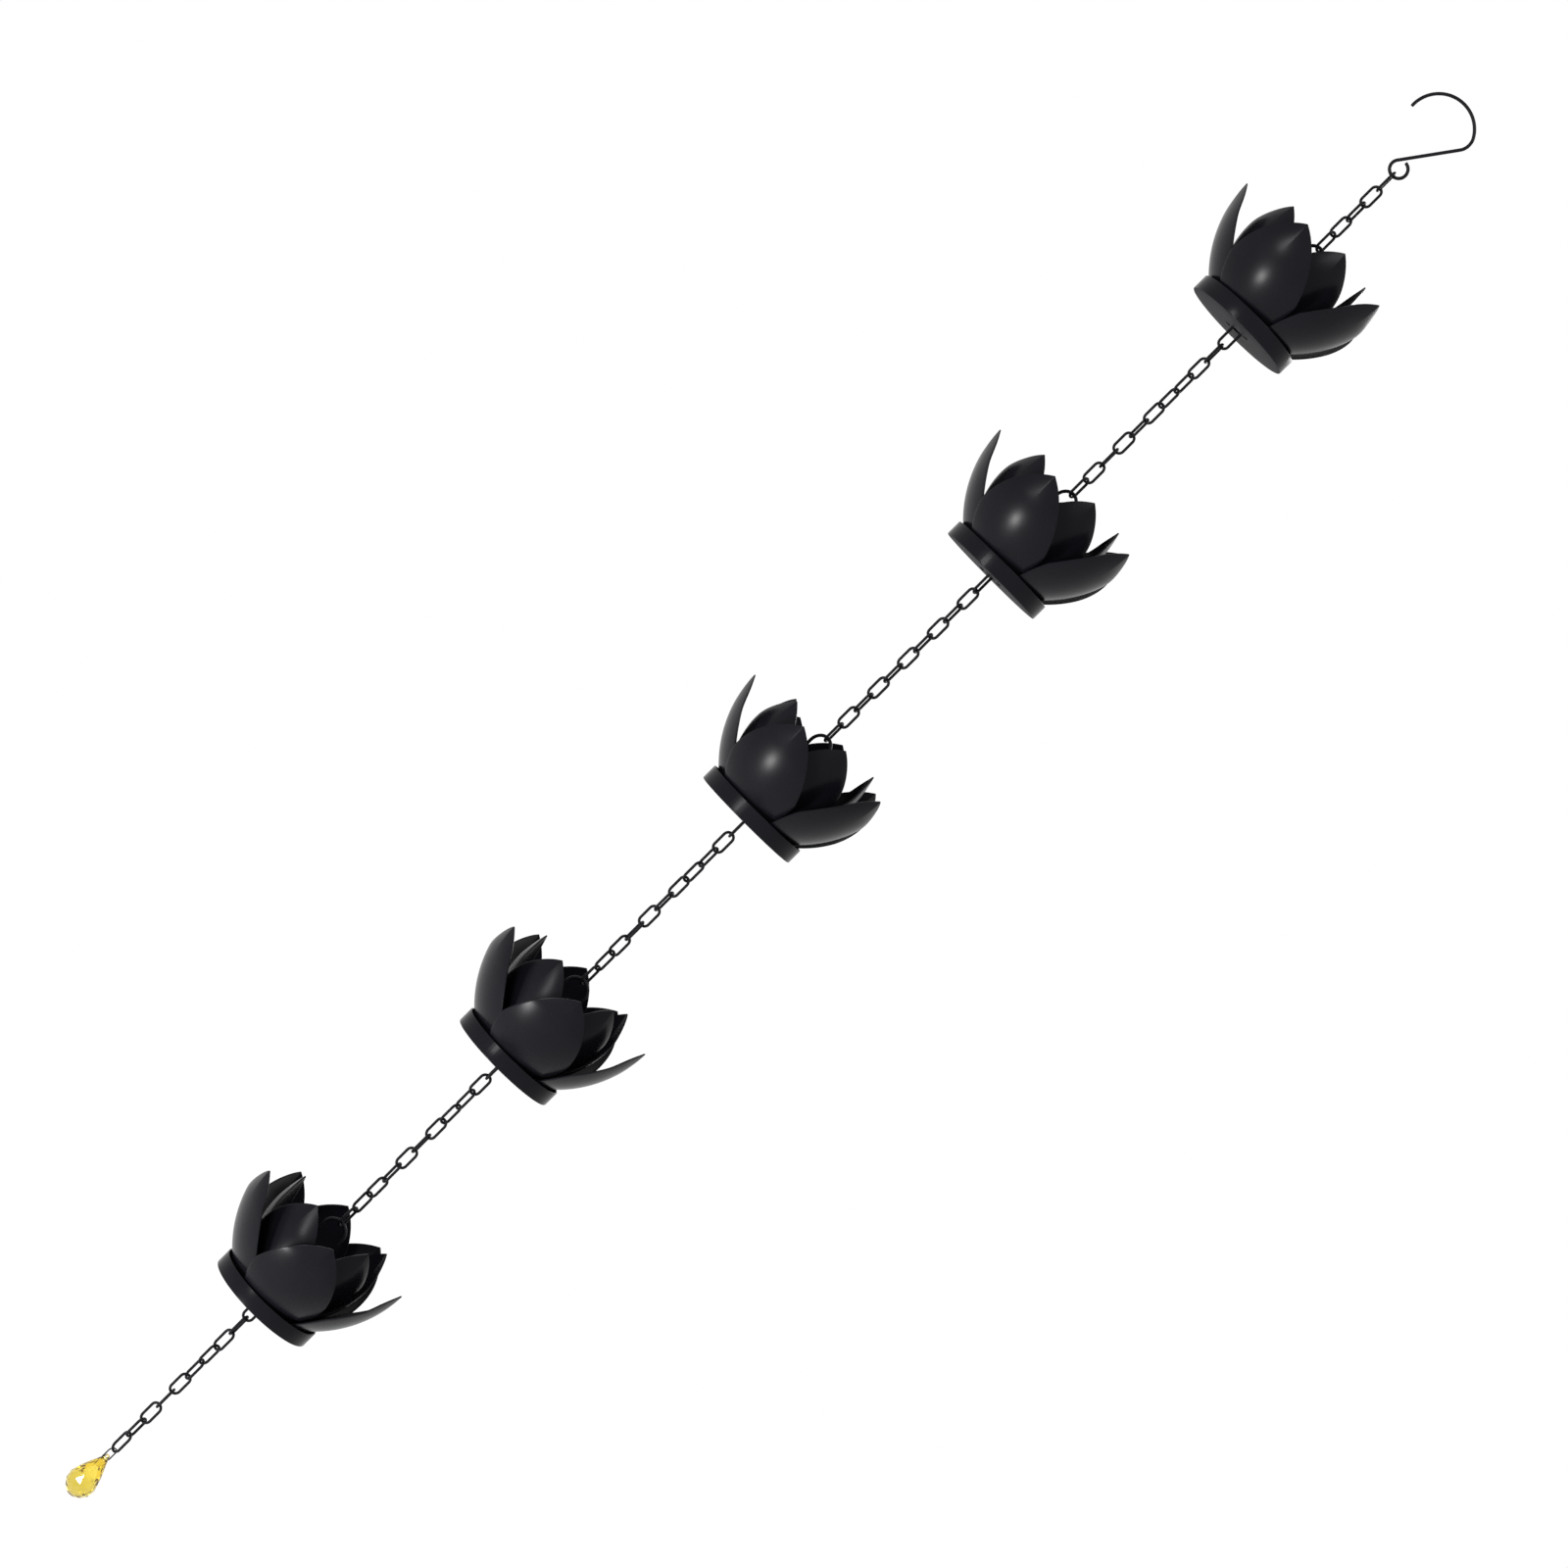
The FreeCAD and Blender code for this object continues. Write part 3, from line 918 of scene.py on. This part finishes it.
@dataclass
class Hook:
    """The question-mark hook: a wide arc, a shoulder, a slanting shank and a closed eye, in millimetres."""

    wire: float = 2.4
    arc_radius: float = 24.0
    shoulder_radius: float = 11.0
    eye_radius: float = 6.2
    tip_angle: float = 184.0  # degrees round the arc, from +X towards +Z, as the shoulder's is
    shoulder_angle: float = 32.0
    shank_lean: float = 36.0
    eye_gap: float = 0.3
    tip_rounding: float = 0.7

    def make(self) -> bpy.types.Object:
        """Bend the hook from its tip to its eye.

        Returns:
            The hook where it hangs.
        """
        lean = math.radians(self.shank_lean)
        shoulder_turn = math.radians(self.shoulder_angle)
        arc = (0.0, self.wire / 2 - self.arc_radius)
        inset = self.arc_radius - self.shoulder_radius
        shoulder = (inset * math.cos(shoulder_turn), arc[1] + inset * math.sin(shoulder_turn))
        bend_x = shoulder[0] + self.shoulder_radius * math.cos(lean)
        bend_z = shoulder[1] - self.shoulder_radius * math.sin(lean)
        meet_x, meet_z = -self.eye_radius * math.cos(lean), self.eye_radius * math.sin(lean)
        fall = (bend_x - meet_x) / math.tan(lean)
        eye_z = bend_z - fall - meet_z
        close = 360 - math.degrees(math.acos(1 - (self.wire + self.eye_gap) / self.eye_radius))
        tip = math.radians(self.tip_angle)
        start = (self.arc_radius * math.cos(tip), arc[1] + self.arc_radius * math.sin(tip))
        wire = WireBender("hook_wire", self.wire, start, 180 - self.tip_angle, sides=24)
        wire.bend(arc, self.tip_angle - self.shoulder_angle, step=4)
        wire.bend(shoulder, self.shoulder_angle + self.shank_lean, step=5)
        wire.straight(meet_x - bend_x, -fall)
        wire.bend((0.0, eye_z), -close, step=6)
        return wire.finish(end_rounding=self.tip_rounding)


@dataclass
class DropPin:
    """The narrow closed loop of thin wire that carries the glass drop, in millimetres."""

    wire: float = 1.0
    inner_width: float = 6.0
    corner: float = 1.2
    drop: float = 9.4  # from the middle of the crossbar to the inside of the crown

    def make(self) -> bpy.types.Object:
        """Bend the pin round its crossbar.

        Returns:
            The pin in the XZ plane, its crossbar at the origin.
        """
        half = (self.inner_width + self.wire) / 2
        top = self.drop + self.wire / 2 - half
        wire = WireBender("pin", self.wire, (half - self.corner, 0.0), -90.0, sides=14)
        wire.straight(2 * (self.corner - half), 0).bend((self.corner - half, self.corner), 90)
        wire.straight(0, top - self.corner).bend((0.0, top), 180)
        wire.straight(0, self.corner - top).bend((half - self.corner, self.corner), 90)
        return wire.finish()


class RainChain:
    """The whole object: builds each model piece and puts its copies on their bodies."""

    # Azimuth of each cup's first outer petal in degrees.
    cup_turns: tuple[float, ...] = (-105.0, -105.0, -105.0, -83.0, -83.0)

    def __init__(self, frame: dict, shop: Workshop) -> None:
        """Keep the frame and the workshop.

        Args:
            shop: The finishes and tools.
        """
        self.nodes = frame["nodes"]
        self.shop = shop
        self.body_of = {n: b for b, group in frame["record"]["behaviour"]["bodies"].items() for n in group}

    def mount(self, piece: bpy.types.Object, cad_node: str, finish: Finish) -> None:
        """Let a piece stand for a CAD node, on that node's body.

        Args:
            piece: The finished piece.
            cad_node: The node that it replaces.
            finish: Its finish.
        """
        self.shop.dress(piece, finish)
        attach(piece, self.body_of[cad_node])
        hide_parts(cad_node)
        log.info("%s stands for %s", piece.name, cad_node)

    def build_cups(self) -> None:
        """Model one cup and set its pieces in the five places."""
        cup = Cup()
        outer, inner = cup.blossoms()
        models = {
            "pan": (cup.pan(), Finish.PAN),
            "outer_petals": (outer, Finish.PETAL),
            "inner_petals": (inner, Finish.PETAL),
            "bail": (cup.bail(), Finish.WIRE),
        }
        loop = cup.loop()
        chain = Chain()
        for number, turn in enumerate(self.cup_turns, 1):
            low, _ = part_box(f"cup_{number}_pan")
            base = low.z / MM
            for name, (model, finish) in models.items():
                piece = self.shop.copy(model, f"cup_{number}_{name}_piece", turn, base)
                self.mount(piece, f"cup_{number}_{name}", finish)
            piece = self.shop.copy(loop, f"cup_{number}_loop_piece", chain.start[number], base)
            self.mount(piece, f"cup_{number}_loop", Finish.WIRE)
        for model, _ in models.values():
            bpy.data.objects.remove(model)
        bpy.data.objects.remove(loop)

    def build_chain(self) -> None:
        """Hang every link."""
        chain = Chain()
        link = chain.link()
        for name, piece in chain.hang(link):
            self.mount(piece, name, Finish.WIRE)
        bpy.data.objects.remove(link)

    def build_ends(self) -> None:
        """Bend the hook and the pin, and polish the glass."""
        self.mount(Hook().make(), "hook", Finish.WIRE)
        pin = DropPin()
        model = pin.make()
        low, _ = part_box("drop_pin")
        chain = Chain()
        last = len(chain.pieces) - 1
        azimuth = chain.azimuth(last, sum(chain.pieces[last])) + 90
        piece = self.shop.copy(model, "drop_pin_piece", azimuth, low.z / MM + pin.wire / 2)
        bpy.data.objects.remove(model)
        self.mount(piece, "drop_pin", Finish.PIN)
        self.shop.redress(self.nodes["glass_drop"], Finish.GLASS)


@dataclass(frozen=True)
class Lamp:
    """A soft box: its centre in metres, its width and height in metres and its power in watts."""

    name: str
    place: tuple[float, float, float]
    size: tuple[float, float]
    power: float


@dataclass
class Studio:
    """White surroundings, soft lamps and the camera, in metres, degrees and pixels."""

    lamps: tuple[Lamp, ...] = (
        Lamp("key", (-0.85, -1.45, -2.3), (0.3, 0.3), 42.0),  # low on the left: the spot on each dome
        Lamp("strip", (-1.15, -2.15, -0.7), (0.3, 1.1), 27.0),  # tall: the streak on each pan
        Lamp("top", (0.8, -1.3, 1.2), (0.9, 0.9), 18.0),  # high in front: the insides of the cups
        Lamp("back", (0.9, 1.6, 0.5), (0.8, 0.8), 18.0),  # high behind: the far side's own glow
    )
    target: tuple[float, float, float] = (0.001, 0.0, -0.645)
    distance: float = 2.655
    focal_pixels: float = 4000.0
    frame_pixels: float = 1600.0
    elevation: float = 2.0
    roll: float = 45.1
    film_width: float = 36.0  # millimetres
    far_clip: float = 100.0
    floor_size: float = 14.0
    floor_drop: float = 1.1
    floor_lift: float = 0.74  # with the light on the paper this makes it white to the camera
    fill: float = 0.3
    white: str = "#ffffff"
    paper: str = "#f4f4f4"

    def camera(self) -> None:
        """Set the camera in front of the chain, rolled so that the chain runs up to the right."""
        data = bpy.data.cameras.new("camera")
        data.sensor_width = self.film_width
        data.lens = self.focal_pixels / self.frame_pixels * data.sensor_width
        data.clip_end = self.far_clip
        camera = bpy.data.objects.new("camera", data)
        bpy.context.scene.collection.objects.link(camera)
        rise = math.radians(self.elevation)
        back = Vector((0.0, -math.cos(rise), math.sin(rise)))
        roll = Quaternion((0, 0, 1), math.radians(self.roll))
        camera.rotation_mode = "QUATERNION"
        camera.rotation_quaternion = (-back).to_track_quat("-Z", "Y") @ roll
        camera.location = Vector(self.target) + back * self.distance
        bpy.context.scene.camera = camera

    def world(self) -> None:
        """Show white to the camera, in the glass and in gloss, and give the object a soft fill."""
        world = bpy.data.worlds.new("studio")
        world.use_nodes = True
        tree = world.node_tree
        tree.nodes.clear()
        seen = self.seen(tree)
        fill = node(tree, "ShaderNodeBackground", Color=linear(self.white), Strength=self.fill)
        white = node(tree, "ShaderNodeBackground", Color=linear(self.white), Strength=1.0)
        mixed = node(
            tree, "ShaderNodeMixShader", slot_0=seen, slot_1=fill.outputs[0], slot_2=white.outputs[0]
        )
        node(tree, "ShaderNodeOutputWorld", Surface=mixed.outputs[0])
        bpy.context.scene.world = world

    @staticmethod
    def seen(tree: bpy.types.NodeTree) -> bpy.types.NodeSocket:
        """Tell the rays that show the surroundings from those that only light the object.

        Args:
            tree: The node tree that asks.

        Returns:
            A socket that is one for camera, glossy and transmission rays.
        """
        rays = node(tree, "ShaderNodeLightPath").outputs
        either = {"operation": "MAXIMUM"}
        direct = node(
            tree, "ShaderNodeMath", either, slot_0=rays["Is Camera Ray"], slot_1=rays["Is Glossy Ray"]
        )
        every = node(
            tree, "ShaderNodeMath", either, slot_0=direct.outputs[0], slot_1=rays["Is Transmission Ray"]
        )
        return every.outputs[0]

    def hang(self, lamp: Lamp) -> None:
        """Hang a soft box that faces the chain.

        Args:
            lamp: The soft box.
        """
        data = bpy.data.lights.new(lamp.name, "AREA")
        data.shape = "RECTANGLE"
        data.size, data.size_y = lamp.size
        data.energy = lamp.power
        box = bpy.data.objects.new(lamp.name, data)
        box.location = lamp.place
        box.rotation_mode = "QUATERNION"
        box.rotation_quaternion = (Vector(self.target) - Vector(lamp.place)).to_track_quat("-Z", "Y")
        bpy.context.scene.collection.objects.link(box)

    def floor(self) -> None:
        """Lay a pale floor well below the drop, white where it is seen and keeping the chain's shadow."""
        low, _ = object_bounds()
        Workshop.clear_selection()
        place = (0, 0, low.z - self.floor_drop)
        bpy.ops.mesh.primitive_plane_add(size=self.floor_size, location=place)
        floor = bpy.context.object
        floor.name = "floor"
        material, tree = blank_material("matt_white_paper")
        paper = node(tree, "ShaderNodeBsdfDiffuse", Color=linear(self.paper)).outputs[0]
        lift = node(tree, "ShaderNodeEmission", Color=linear(self.white), Strength=self.floor_lift)
        both = node(tree, "ShaderNodeAddShader", slot_0=paper, slot_1=lift.outputs[0]).outputs[0]
        shown = node(tree, "ShaderNodeMixShader", slot_0=self.seen(tree), slot_1=paper, slot_2=both)
        node(tree, "ShaderNodeOutputMaterial", Surface=shown.outputs[0])
        floor.data.materials.append(material)
        floor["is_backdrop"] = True

    def build(self) -> None:
        """Set up the whole studio."""
        bpy.context.scene.view_settings.view_transform = "Standard"
        self.camera()
        self.world()
        self.floor()
        for lamp in self.lamps:
            self.hang(lamp)


def main() -> None:
    """Build the rain chain round the frame, then the studio."""
    logging.basicConfig(level=logging.INFO, format="%(message)s")
    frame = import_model()
    chain = RainChain(frame, Workshop())
    chain.build_cups()
    chain.build_chain()
    chain.build_ends()
    Studio().build()


if __name__ == "__main__":
    main()
